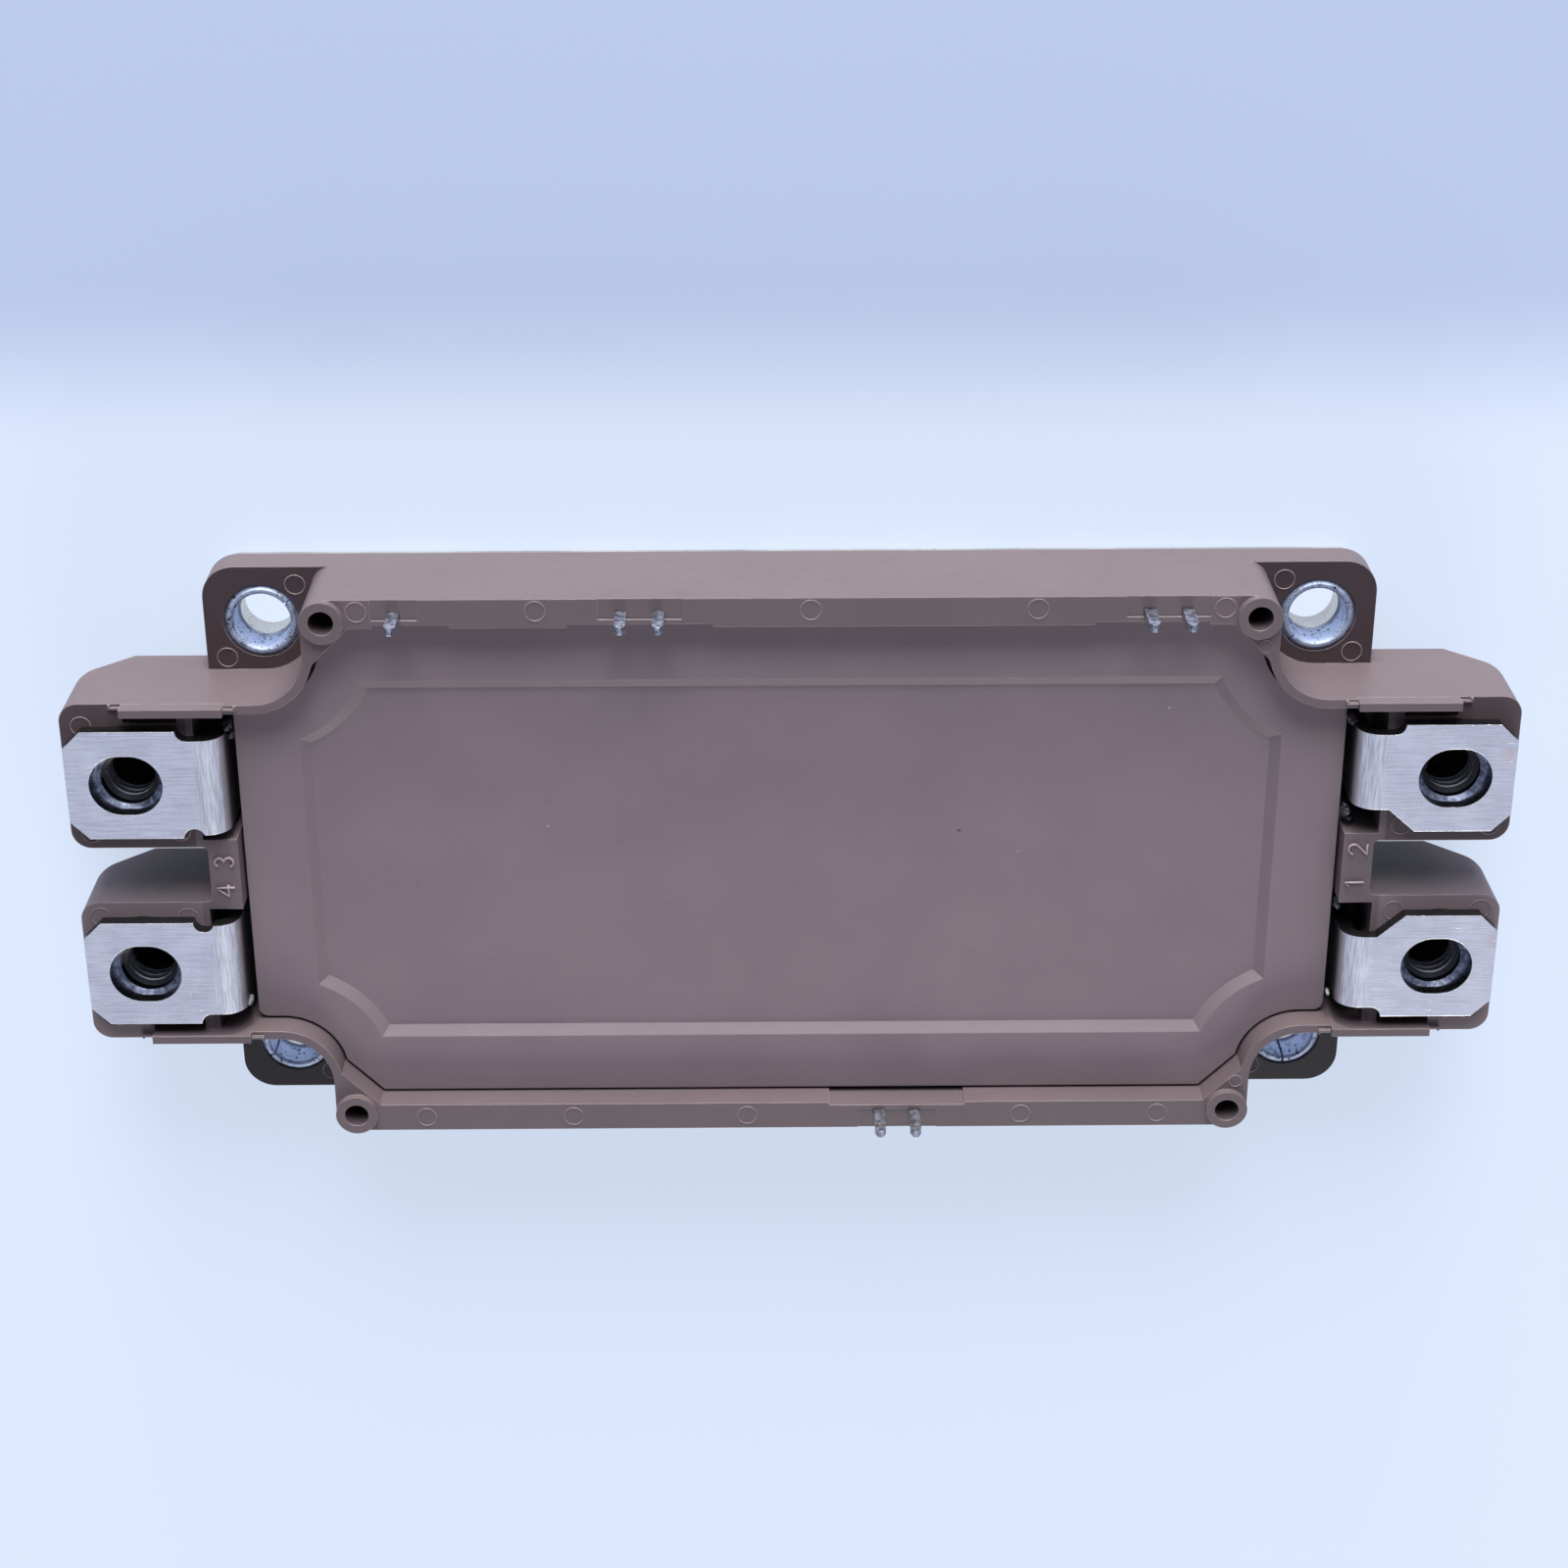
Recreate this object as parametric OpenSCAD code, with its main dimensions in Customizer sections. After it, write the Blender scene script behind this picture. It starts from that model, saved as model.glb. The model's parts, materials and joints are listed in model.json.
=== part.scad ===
// Half-bridge power transistor module: a moulded frame with four terminal arms,
// glued over a copper base plate, closed by a pressed-in lid.
// It lies on its base plate, with the origin at the bottom centre of the plate.

/* [Terminals] */
// Width of a terminal lug
term_w = 12.1; // [11.6:0.1:12.6]
// Thickness of the terminal strip
term_t = 1.5; // [1.2:0.1:1.6]
// Corner chamfer of a lug
term_chamfer = 1.9; // [1:0.1:2.2]
// Width of the oval screw hole across the strip
term_hole_w = 6.6; // [6.4:0.1:7]
// Extra length of the oval screw hole along the strip
term_hole_extra = 1; // [0.4:0.1:1.4]
// Radius of the relief cuts beside the bend
relief_r = 1.1; // [0.8:0.05:1.2]
// Outer radius of the bends
bend_r = 2.4; // [2.2:0.1:2.5]
// Across flats of the captive nut
nut_af = 10; // [9.5:0.1:10.4]
// Height of the captive nut
nut_h = 5; // [4.5:0.1:5.5]
// Thread diameter of the captive nut
nut_thread_d = 6; // [5:0.5:6]
// Clear depth for the screw below the face of an arm
screw_depth = 10; // [9:0.5:11]

/* [Arms] */
// Gap between the two arms of one end
arm_gap = 6.4; // [5.6:0.2:7]
// Plastic face beside a lug, on the side of the gap
lug_in_margin = 1.75; // [1.5:0.05:2.2]
// Plastic face beside a lug, on the side of the outer wall
lug_out_margin = 1.55; // [1.3:0.05:2]
// Plastic between the leg pocket and the nut
nut_wall = 1.27; // [1.1:0.01:2]
// Distance from the screw to the end of the arm
arm_end = 6.5; // [6.3:0.1:8]
// Corner radius of the arms
arm_corner_r = 2; // [1:0.25:2.5]
// Size of the bevel under the outer end of an arm
arm_bevel = 5.6; // [4:0.2:7]
// Thickness of the thin walls at the arms and round the screw recesses
thin_wall = 0.95; // [0.8:0.05:1.2]

/* [Case] */
// Width of the rim along the long sides
rim_w = 3.12; // [2.9:0.02:3.4]
// Height of the rim above the lid's border
rim_rise = 2.9; // [2.4:0.1:3.4]
// Height of the rim above the face of the arms
arm_drop = 0.6; // [0.4:0.1:1]
// Thickness of the end wall that carries the terminal numbers
end_wall = 3.15; // [2.8:0.05:3.4]
// Room between the row of tiles and the end wall
end_room = 14.1; // [13.8:0.1:16]
// Room between the tiles and the shelf along the long sides
side_room = 3.28; // [3:0.02:4]
// Thickness of the shelf that carries the feet of the signal pins
shelf_t = 2.85; // [2.6:0.05:3.2]

/* [Base plate] */
// Thickness of the copper base plate
base_t = 3; // [2.8:0.1:3.4]
// Width of the frame's skirt round the base plate
skirt_w = 0.8; // [0.5:0.1:1.2]
// How far the skirt reaches down over the edge of the base plate
skirt_lap = 0.4; // [0.2:0.1:0.8]
// Corner radius of the case
ear_corner_r = 3.4; // [2.5:0.1:4]
// Thickness of the adhesive bed between frame and base plate
glue_t = 0.15; // [0.1:0.05:0.25]

/* [Mounting holes] */
// Distance of each mounting hole from the sides of the case
hole_inset = 6; // [5.6:0.1:6.6]
// Diameter of the holes in the base plate
base_hole_d = 5.5; // [5:0.1:5.8]
// Thickness of the mounting ears
ear_t = 3.9; // [3.5:0.1:4.5]
// Radius of the recess that clears the screw head
recess_r = 5.45; // [5:0.05:6]
// Bore of the split steel bushes
bush_bore_d = 6; // [5.9:0.1:6.3]
// Wall of the split steel bushes
bush_wall = 0.95; // [0.8:0.05:1.1]
// How far a bush stands out of its ear
bush_proud = 0.1; // [0.05:0.05:0.2]
// Width of the slit in a bush
bush_slit = 0.25; // [0.15:0.05:0.5]

/* [Board posts] */
// Diameter of the four posts that carry the driver board
post_d = 4.5; // [4.2:0.1:4.8]
// Diameter of the screw hole in a post
post_hole_d = 2.6; // [2.2:0.1:3]
// Depth of the screw hole in a post
post_hole_depth = 10; // [8:0.5:11]
// Height of a post above the rim
post_rise = 0.7; // [0.4:0.1:1.2]

/* [Lid] */
// Thickness of the lid
lid_t = 1.5; // [1.2:0.1:1.8]
// Gap between the lid and the frame
lid_gap = 0.3; // [0.2:0.05:0.4]
// Width of the border round the sunk panel
lid_border = 6.9; // [6:0.1:8]
// Width of the border between the panel and the screw recesses
corner_border = 4.9; // [4:0.1:6]
// Depth of the sunk panel
panel_depth = 0.83; // [0.5:0.01:1]
// Width of the slope round the panel
panel_slope = 1.1; // [0.8:0.1:1.5]

/* [Signal pins] */
// Distance between the pins of a pair
pin_pitch = 3.81; // [3.5:0.01:4.2]
// Width of a signal pin
pin_w = 1.15; // [0.9:0.05:1.3]
// Thickness of a signal pin
pin_t = 0.8; // [0.5:0.1:0.9]
// Height of the pin tips above the rim
pin_rise = 4.4; // [3:0.1:6]

/* [Substrates] */
// Side of a transistor chip
igbt_side = 11; // [9:0.1:11.4]
// Side of a diode chip
diode_side = 8.6; // [7.5:0.1:9.5]
// Gap between neighbouring chips
chip_gap = 1.3; // [0.8:0.1:2]
// Bare copper round the chips
chip_margin = 0.8; // [0.5:0.1:1.2]
// Length of copper that the foot of a terminal lies on
foot_landing = 4; // [3:0.1:5]
// Gap between the tiles
tile_gap = 1; // [0.5:0.1:1.4]
// Bare ceramic round the copper
copper_inset = 1; // [0.6:0.1:1.4]
// Thickness of the ceramic
ceramic_t = 0.38; // [0.25:0.01:0.63]
// Thickness of each copper layer
copper_t = 0.3; // [0.2:0.05:0.4]
// Thickness of the solder under a tile
solder_t = 0.15; // [0.1:0.05:0.3]
// Thickness of the chips
chip_t = 0.2; // [0.1:0.05:0.3]
// Diameter of the power bond wires
wire_d = 0.4; // [0.3:0.05:0.5]
// Number of bond wires on each chip
chip_wires = 5; // [3:1:6]
// Height of the gel above the signal wires
gel_cover = 0.7; // [0.3:0.1:1]

/* [Hidden] */
$fn = 64;
TERMINALS = [for (i = [1:4]) str("terminal_", i)];
NUTS = [for (i = [1:4]) str("terminal_nut_", i)];
BUSHES = [for (i = [1:4]) str("mounting_bush_", i)];
PINS = [for (i = [1:7]) str("signal_pin_", i)];
SOLDERS = [for (i = [1:3]) str("tile_solder_", i)];
BACKS = [for (i = [1:3]) str("back_copper_", i)];
CERAMICS = [for (i = [1:3]) str("ceramic_tile_", i)];
CIRCUITS = [for (i = [1:3]) str("circuit_copper_", i)];
IGBTS = [for (i = [1:3]) str("igbt_chips_", i)];
DIODES = [for (i = [1:3]) str("diode_chips_", i)];
WIRES = [for (i = [1:3]) str("bond_wires_", i)];

plastic_colour = [0.52, 0.46, 0.44];
tin_colour = [0.78, 0.78, 0.82];
steel_colour = [0.62, 0.64, 0.68];
copper_colour = [0.80, 0.50, 0.36];

// Overrun of every cut past the face that it opens
cut = 1;
// Clearance of a metal insert in its moulded seat
seat_fit = 0.05;
// Clearance of the base plate inside the skirt
plate_fit = 0.1;

// Widths, from the gap between the arms outwards
shelf_w = 3.6;
seat_ledge_w = 1.2;
term_y = arm_gap / 2 + lug_in_margin + term_w / 2;
pocket_out_y = term_y + term_w / 2 + lug_out_margin;
arm_y = pocket_out_y + thin_wall;
mount_y = arm_y + recess_r;
case_w = 2 * (mount_y + hole_inset);
cavity_y = case_w / 2 - rim_w;
tile_w = 2 * (cavity_y - shelf_w - side_room);

// Lengths, from the middle tile outwards
tile_l = 2 * copper_inset + 2 * chip_margin + igbt_side + chip_gap + diode_side + foot_landing;
tile_pitch = tile_l + tile_gap;
row_l = 2 * tile_pitch + tile_l;
cavity_x = row_l / 2 + end_room;
case_l = 2 * (cavity_x + end_wall);
mount_x = case_l / 2 - hole_inset;
leg_gap = 0.4;
leg_x = cavity_x + leg_gap;
pocket_gap = 1.65;
pocket_x = leg_x + term_t + pocket_gap;
nut_seat_r = (nut_af / 2 + seat_fit) / cos(30);
term_x = pocket_x + nut_wall + nut_seat_r;
arms_l = 2 * (term_x + arm_end);
far = arms_l;

// Heights, from the base plate up
skirt_z = base_t - skirt_lap;
frame_floor_z = base_t + glue_t;
ear_z = skirt_z + ear_t;
shelf_z = frame_floor_z + shelf_t;
back_z = base_t + solder_t;
ceramic_z = back_z + copper_t;
circuit_z = ceramic_z + ceramic_t;
chip_z = circuit_z + copper_t;
wire_z = chip_z + chip_t;
wire_rise = 2.2;
signal_wire_d = 0.3;
signal_rise = 1.2;
gel_z = shelf_z + pin_t + signal_rise + signal_wire_d + gel_cover;
lid_air = 1.87;
lid_z = gel_z + lid_air + lid_t + panel_depth;
lid_seat_z = lid_z - lid_t;
panel_floor_z = lid_z - panel_depth;
rim_z = lid_z + rim_rise;
arm_z = rim_z - arm_drop;
term_z = arm_z + term_t;
post_z = rim_z + post_rise;
pin_z = rim_z + pin_rise;

// Body above the ears, which the screw recesses cut back to a post at each corner
bush_edge = 0.45;
slit_mouth = 0.4;
bush_d = bush_bore_d + 2 * bush_wall;
body_x = mount_x - recess_r;
post_r = post_d / 2;
post_x = body_x - post_r;
post_y = case_w / 2 - post_r;
post_web = 0.2;
web_half_l = 1.5 * post_d;
rim_end_x = cavity_x - thin_wall;
arm_fillet_r = 0.5;

// Cavity and lid
cavity_corner_r = recess_r + thin_wall;
lid_corner_r = 1;
panel_x = cavity_x - lid_border;
panel_y = cavity_y - lid_border;
panel_arc_r = cavity_corner_r + corner_border;

// Circuit on the tiles
track_gap = 1;
middle_track_w = 8;
middle_track_share = 0.8;
signal_track_w = 1.2;
field_y = middle_track_w / 2 + track_gap;
field_out_y = tile_w / 2 - copper_inset - signal_track_w - track_gap / 2;
chip_y = (field_y + field_out_y) / 2;
igbt_x = -tile_l / 2 + copper_inset + chip_margin + igbt_side / 2;
diode_x = igbt_x + (igbt_side + diode_side) / 2 + chip_gap;
wire_landing_y = middle_track_w / 3;
thermistor_size = [1.6, 3.2, 0.8];

// Terminal strip
neck_x = leg_x + bend_r;
relief_x = neck_x + relief_r + relief_r / 8;
neck_out_y = term_y + term_w / 2 - relief_r;
notch_neck_y = term_y - term_w / 2 + relief_r / 3;
taper_neck_y = term_y - term_w / 2 + 2.3 * relief_r;
taper_x = relief_x + 2.6 * relief_r;
term_end_x = arms_l / 2 - term_t / 4;
foot_z = chip_z;
foot_end_x = row_l / 2 - copper_inset - foot_landing + chip_margin / 2;

// Leg pocket, creepage slot and nut seat
foot_channel_x = post_x;
pocket_in_y = term_y - term_w / 2 - 0.8 * relief_r;
nut_drop = 0.15;
nut_ring_r = term_w / 2 + seat_fit;
nut_edge = 0.5;
screw_well_d = nut_thread_d + 2 * nut_edge;
slot_in_x = relief_x + relief_r;
slot_out_x = term_x;
slot_w = 1.2;
slot_depth = 8;

// Guard lips on the arms' side walls, with a low corner bead at each end
lip_in_x = cavity_x + 3 * seat_fit;
lip_out_x = term_x;
lip_rise = 1.55;
lip_setback = seat_fit;
bead_l = 1.3;
bead_w = 0.2;
bead_rise = 0.4;
bead_setback = 0.3;

// Signal pins in groups: [side, middle as a share of the way to the post, pins in the group]
pin_group_shares = [[1, -0.8458, 1], [1, -0.3222, 2], [1, 0.8055, 2], [-1, 0.24165, 2]];
// Sunk stretch of the rim's inner face at each group: [side, middle as a share of the way to the post]
carrier_shares = [[1, -0.886], [1, -0.3222], [1, 0.8055], [-1, 0.24165]];
// Every pin: [side, place along X]
pin_places = [
    for (g = pin_group_shares, k = [0:g[2] - 1])
        [g[0], g[1] * post_x + (k - (g[2] - 1) / 2) * pin_pitch]
];
pin_y = case_w / 2 - rim_w / 2 - pin_t / 4;
pin_tip = 0.35;
pin_foot_y = cavity_y - shelf_w + pin_t / 2;
carrier_l = 14.74;
carrier_depth = 0.35;
carrier_end_x = post_x - 9 / 8 * post_d;
pad_margin = 2.35;
pad_setback = 0.87;
pad_relief = 0.1;
landing_share = 0.96;
signal_landing_y = tile_w / 2 - copper_inset - signal_track_w / 2;

// Repeats its children in the four quadrants
module at_corners() {
    for (mx = [0, 1], my = [0, 1])
        mirror([mx, 0, 0]) mirror([0, my, 0]) children();
}

// Rectangle with round corners, centred
module rounded_rect(l, w, r) {
    square([l - 2 * r, w], center = true);
    square([l, w - 2 * r], center = true);
    for (sx = [-1, 1], sy = [-1, 1])
        translate([sx * (l / 2 - r), sy * (w / 2 - r)]) circle(r = r);
}

// Box from its low corner to its high corner
module box(low, high) {
    translate(low) cube(high - low);
}

module case_2d(grow = 0) {
    rounded_rect(case_l + 2 * grow, case_w + 2 * grow, ear_corner_r + grow);
}

module mount_holes_2d(d) {
    at_corners() translate([mount_x, mount_y]) circle(d = d);
}

// Outline of the tall body: the screw recesses cut its corners, and a post rounds each tip
module body_2d() {
    difference() {
        square([2 * rim_end_x, case_w], center = true);
        at_corners() {
            translate([mount_x, mount_y]) {
                circle(r = recess_r);
                translate([0, -recess_r]) square(far);
                translate([-recess_r, 0]) square(far);
            }
            translate([post_x, post_y]) square(far);
        }
    }
    at_corners() translate([post_x, post_y]) circle(r = post_r);
}

// Outline of the cavity, grown by grow; the lid follows the same line
module cavity_2d(grow = 0) {
    difference() {
        square([2 * (cavity_x + grow), 2 * (cavity_y + grow)], center = true);
        at_corners() {
            translate([mount_x, mount_y]) {
                circle(r = cavity_corner_r - grow);
                translate([0, grow - cavity_corner_r]) square(far);
                translate([grow - cavity_corner_r, 0]) square(far);
            }
            translate([post_x, post_y]) rotate(45)
                translate([grow - post_r - post_web, -web_half_l]) square([far, 2 * web_half_l]);
        }
    }
}

// Outline of the two arms of the right end, joined by the end wall
module arms_2d() {
    lobe_l = arms_l / 2 - mount_x;
    lobe_w = arm_y - arm_gap / 2;
    difference() {
        union() {
            for (s = [-1, 1])
                translate([mount_x + lobe_l / 2, s * (arm_gap + lobe_w) / 2])
                    rounded_rect(lobe_l, lobe_w, arm_corner_r);
            translate([mount_x, -arm_y]) square([case_l / 2 + arm_fillet_r - mount_x, 2 * arm_y]);
        }
        translate([case_l / 2 + far / 2, 0]) rounded_rect(far, arm_gap, arm_fillet_r);
    }
}

module arms() {
    difference() {
        translate([0, 0, skirt_z]) linear_extrude(arm_z - skirt_z) arms_2d();
        rotate([90, 0, 0]) linear_extrude(case_w, center = true)
            polygon([
                [arms_l / 2 - arm_bevel - cut, skirt_z - cut],
                [arms_l / 2 + cut, skirt_z - cut],
                [arms_l / 2 + cut, skirt_z + arm_bevel + cut]
            ]);
    }
}

// Corner bead along the outer wall, from the plane x = 0 to its closed end at x = bead_l
module corner_bead() {
    box([0, arm_y - bead_setback - bead_w, 0], [bead_l, arm_y - bead_setback, bead_rise]);
    box([bead_l - bead_w, arm_y - bead_setback - bead_w, 0], [bead_l, arm_y - lip_setback, bead_rise]);
}

// Guard lip and its beads on one arm; the rim's height runs on to the lip
module guard_lip() {
    y0 = pocket_out_y;
    box([rim_end_x, y0, arm_z], [lip_in_x, arm_y, rim_z]);
    box([lip_in_x, y0, arm_z], [lip_out_x, arm_y - lip_setback, arm_z + lip_rise]);
    translate([lip_in_x, 0, rim_z]) mirror([1, 0, 0]) corner_bead();
    translate([lip_out_x, 0, arm_z]) corner_bead();
}

// Space for the foot and the leg of one terminal, which opens into the cavity
module leg_space(top) {
    box([foot_channel_x, pocket_in_y, foot_z], [pocket_x, pocket_out_y, shelf_z]);
    box([cavity_x - shelf_w, pocket_in_y, foot_z], [pocket_x, pocket_out_y, top]);
}

module creepage_slot() {
    box([slot_in_x, pocket_out_y - slot_w, arm_z - slot_depth],
        [slot_out_x, pocket_out_y, arm_z + cut]);
}

// Seat of the captive nut, with the well for the end of the screw
module nut_seat() {
    translate([term_x, term_y]) {
        translate([0, 0, arm_z - nut_drop]) cylinder(h = nut_drop + cut, r = nut_ring_r);
        translate([0, 0, arm_z - nut_drop - nut_h])
            cylinder(h = nut_h + cut, r = nut_seat_r, $fn = 6);
        translate([0, 0, arm_z - screw_depth]) cylinder(h = screw_depth, d = screw_well_d);
    }
}

// Moves its children from the +Y side to the place of a pin: [side, place along X]
module at_pin(place) {
    translate([place[1], 0, 0]) mirror([0, place[0] < 0 ? 1 : 0, 0]) children();
}

module pin_slot() {
    half_w = pin_w / 2 + seat_fit;
    half_t = pin_t / 2 + seat_fit;
    box([-half_w, pin_y - half_t, shelf_z], [half_w, pin_y + half_t, rim_z + cut]);
    box([-half_w, pin_foot_y - cut, shelf_z], [half_w, pin_y, shelf_z + pin_t + seat_fit]);
}

// Sunk stretch of the rim's inner face, where the strip that carries the pins is moulded in;
// it starts at x along the rim, and stops short of the posts
module carrier_recess(x) {
    box([max(x - carrier_l / 2, -carrier_end_x), cavity_y - cut, lid_seat_z],
        [min(x + carrier_l / 2, carrier_end_x), cavity_y + carrier_depth, rim_z + cut]);
}

// Sunk pad of the rim round a group of pins
module pin_pad(count) {
    half_l = (count - 1) * pin_pitch / 2 + pad_margin;
    box([-half_l, cavity_y + pad_setback, rim_z - pad_relief], [half_l, case_w / 2 + cut, rim_z + cut]);
}

module case_frame() {
    color(plastic_colour) difference() {
        union() {
            translate([0, 0, skirt_z]) linear_extrude(ear_z - skirt_z) case_2d();
            translate([0, 0, skirt_z]) linear_extrude(rim_z - skirt_z) body_2d();
            for (m = [0, 1]) mirror([m, 0, 0]) arms();
            at_corners() guard_lip();
            at_corners() translate([post_x, post_y, ear_z]) cylinder(h = post_z - ear_z, r = post_r);
        }
        translate([0, 0, skirt_z - cut]) linear_extrude(frame_floor_z - skirt_z + cut)
            case_2d(plate_fit - skirt_w);
        translate([0, 0, skirt_z]) linear_extrude(shelf_z - skirt_z) cavity_2d(-shelf_w);
        translate([0, 0, shelf_z]) linear_extrude(lid_seat_z - shelf_z) cavity_2d(-seat_ledge_w);
        translate([0, 0, lid_seat_z]) linear_extrude(rim_z - lid_seat_z + cut) cavity_2d();
        translate([0, 0, skirt_z - cut]) linear_extrude(ear_z - skirt_z + 2 * cut)
            mount_holes_2d(bush_d + 2 * seat_fit);
        at_corners() {
            leg_space(rim_z + cut);
            creepage_slot();
            nut_seat();
            translate([post_x, post_y, post_z - post_hole_depth])
                cylinder(h = post_hole_depth + cut, d = post_hole_d);
        }
        for (place = pin_places) at_pin(place) pin_slot();
        for (c = carrier_shares) at_pin([c[0], 0]) carrier_recess(c[1] * post_x);
        for (g = pin_group_shares) at_pin([g[0], g[1] * post_x]) pin_pad(g[2]);
    }
}

module base_plate() {
    color(copper_colour) linear_extrude(base_t) difference() {
        case_2d(-skirt_w);
        mount_holes_2d(base_hole_d);
    }
}

// Bed of adhesive under the frame, clear of the cavity and the bushes
module frame_adhesive() {
    color("gray") translate([0, 0, base_t]) linear_extrude(glue_t) difference() {
        case_2d(-skirt_w);
        cavity_2d(-shelf_w);
        mount_holes_2d(bush_d + 2 * seat_fit);
    }
}

// Sunk panel of the lid: sloped sides, and corners cut by cones about the mounting holes
module lid_panel_cut() {
    difference() {
        intersection() {
            rotate([90, 0, 0]) linear_extrude(far, center = true) panel_profile(panel_x);
            rotate([90, 0, 90]) linear_extrude(far, center = true) panel_profile(panel_y);
        }
        at_corners() translate([mount_x, mount_y, panel_floor_z]) {
            cylinder(h = panel_depth, r1 = panel_arc_r + panel_slope, r2 = panel_arc_r);
            translate([0, 0, panel_depth]) cylinder(h = 2 * cut, r = panel_arc_r);
        }
    }
}

module panel_profile(half) {
    polygon([
        [panel_slope - half, panel_floor_z], [half - panel_slope, panel_floor_z],
        [half, lid_z], [half, lid_z + cut], [-half, lid_z + cut], [-half, lid_z]
    ]);
}

module lid() {
    edge_x = cavity_x - lid_gap;
    edge_y = mount_y - cavity_corner_r - lid_gap;
    color(plastic_colour) difference() {
        union() {
            translate([0, 0, lid_seat_z]) linear_extrude(lid_t) difference() {
                cavity_2d(-lid_gap);
                at_corners() translate([edge_x - lid_corner_r, edge_y - lid_corner_r]) difference() {
                    square(lid_corner_r + cut);
                    circle(r = lid_corner_r);
                }
            }
            translate([0, 0, panel_floor_z - lid_t]) linear_extrude(lid_t) difference() {
                square([2 * panel_x, 2 * panel_y], center = true);
                at_corners() translate([mount_x, mount_y]) circle(r = panel_arc_r);
            }
        }
        lid_panel_cut();
    }
}

// Quarter bend of the strip, from the plane y = 0 up to y = w
module strip_bend(w) {
    rotate([-90, 0, 0]) rotate_extrude(angle = 90)
        translate([bend_r - term_t, 0]) square([term_t, w]);
}

module lug_2d(tapered) {
    low_y = term_y - term_w / 2;
    high_y = term_y + term_w / 2;
    neck_y = tapered ? taper_neck_y : notch_neck_y;
    difference() {
        union() {
            polygon([
                [relief_x, tapered ? neck_y : low_y],
                [tapered ? taper_x : relief_x, low_y],
                [term_end_x - term_chamfer, low_y],
                [term_end_x, low_y + term_chamfer],
                [term_end_x, high_y - term_chamfer],
                [term_end_x - term_chamfer, high_y],
                [relief_x, high_y]
            ]);
            translate([neck_x, neck_y]) square([relief_x - neck_x + seat_fit, neck_out_y - neck_y]);
        }
        translate([relief_x, high_y]) circle(r = relief_r);
        if (!tapered) translate([relief_x, low_y]) circle(r = relief_r);
        for (s = [-1, 1])
            translate([term_x + s * term_hole_extra / 2, term_y]) circle(d = term_hole_w);
        translate([term_x - term_hole_extra / 2, term_y - term_hole_w / 2])
            square([term_hole_extra, term_hole_w]);
    }
}

// One terminal strip in the +X +Y quadrant: lug, bend, leg, bend and foot
module terminal_strip(tapered) {
    neck_y = tapered ? taper_neck_y : notch_neck_y;
    neck_w = neck_out_y - neck_y;
    translate([0, 0, arm_z]) linear_extrude(term_t) lug_2d(tapered);
    translate([neck_x, neck_y, term_z - bend_r]) mirror([1, 0, 0])
        rotate([0, -90, 0]) strip_bend(neck_w);
    box([leg_x, neck_y, foot_z + bend_r], [leg_x + term_t, neck_out_y, term_z - bend_r]);
    translate([leg_x + term_t - bend_r, neck_y, foot_z + bend_r]) strip_bend(neck_w);
    box([foot_end_x, neck_y, foot_z], [leg_x + term_t - bend_r, neck_out_y, foot_z + term_t]);
}

// Terminals 1 and 2 are on the right, with a tapered neck; 3 and 4 on the left, with a notch
function term_flip_x(i) = i > 2 ? 1 : 0;
function term_flip_y(i) = (i == 1 || i == 4) ? 1 : 0;

module terminal(i) {
    color(tin_colour) mirror([term_flip_x(i), 0, 0]) mirror([0, term_flip_y(i), 0])
        terminal_strip(i <= 2);
}

module terminal_nut(i) {
    thread_r = nut_thread_d / 2;
    color(steel_colour) mirror([term_flip_x(i), 0, 0]) mirror([0, term_flip_y(i), 0])
        translate([term_x, term_y, arm_z - nut_drop - nut_h]) difference() {
            cylinder(h = nut_h, r = nut_af / 2 / cos(30), $fn = 6);
            translate([0, 0, -cut]) cylinder(h = nut_h + 2 * cut, r = thread_r);
            translate([0, 0, nut_h - nut_edge])
                cylinder(h = nut_edge, r1 = thread_r, r2 = thread_r + nut_edge);
        }
}

// Rolled steel bush: a sleeve with a beveled mouth and one slit
bush_slit_angles = [37, 225, 215, 270];
module mounting_bush(i) {
    side = [[-1, 1], [1, 1], [-1, -1], [1, -1]][i - 1];
    r = bush_d / 2;
    bore = bush_bore_d / 2;
    top = ear_z + bush_proud;
    color(steel_colour) translate([side[0] * mount_x, side[1] * mount_y]) difference() {
        rotate_extrude() polygon([
            [bore, base_t], [r, base_t], [r, top - bush_edge], [r - bush_edge, top],
            [bore + bush_edge / 2, top], [bore, top - bush_edge / 2]
        ]);
        rotate(bush_slit_angles[i - 1]) {
            box([0, -bush_slit / 2, base_t - cut], [bush_d, bush_slit / 2, top + cut]);
            translate([r, 0, base_t - cut]) linear_extrude(ear_t + 2 * cut)
                polygon([[-slit_mouth, 0], [seat_fit, -slit_mouth], [seat_fit, slit_mouth]]);
        }
    }
}

// Signal pin: a flat blade with a chamfered tip, and a foot that the wire is bonded to
module signal_pin(i) {
    color(tin_colour) at_pin(pin_places[i - 1]) {
        translate([0, pin_y + pin_t / 2, 0]) rotate([90, 0, 0]) linear_extrude(pin_t) polygon([
            [-pin_w / 2, shelf_z], [pin_w / 2, shelf_z],
            [pin_w / 2, pin_z - 2 * pin_tip], [pin_w / 2 - pin_tip, pin_z],
            [pin_tip - pin_w / 2, pin_z], [-pin_w / 2, pin_z - 2 * pin_tip]
        ]);
        box([-pin_w / 2, pin_foot_y, shelf_z], [pin_w / 2, pin_y, shelf_z + pin_t]);
    }
}

// Places its children at one of the three tiles; the outer ones face their terminals
module at_tile(i) {
    translate([(i - 2) * tile_pitch, 0, 0]) mirror([i == 1 ? 1 : 0, 0, 0]) children();
}

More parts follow.
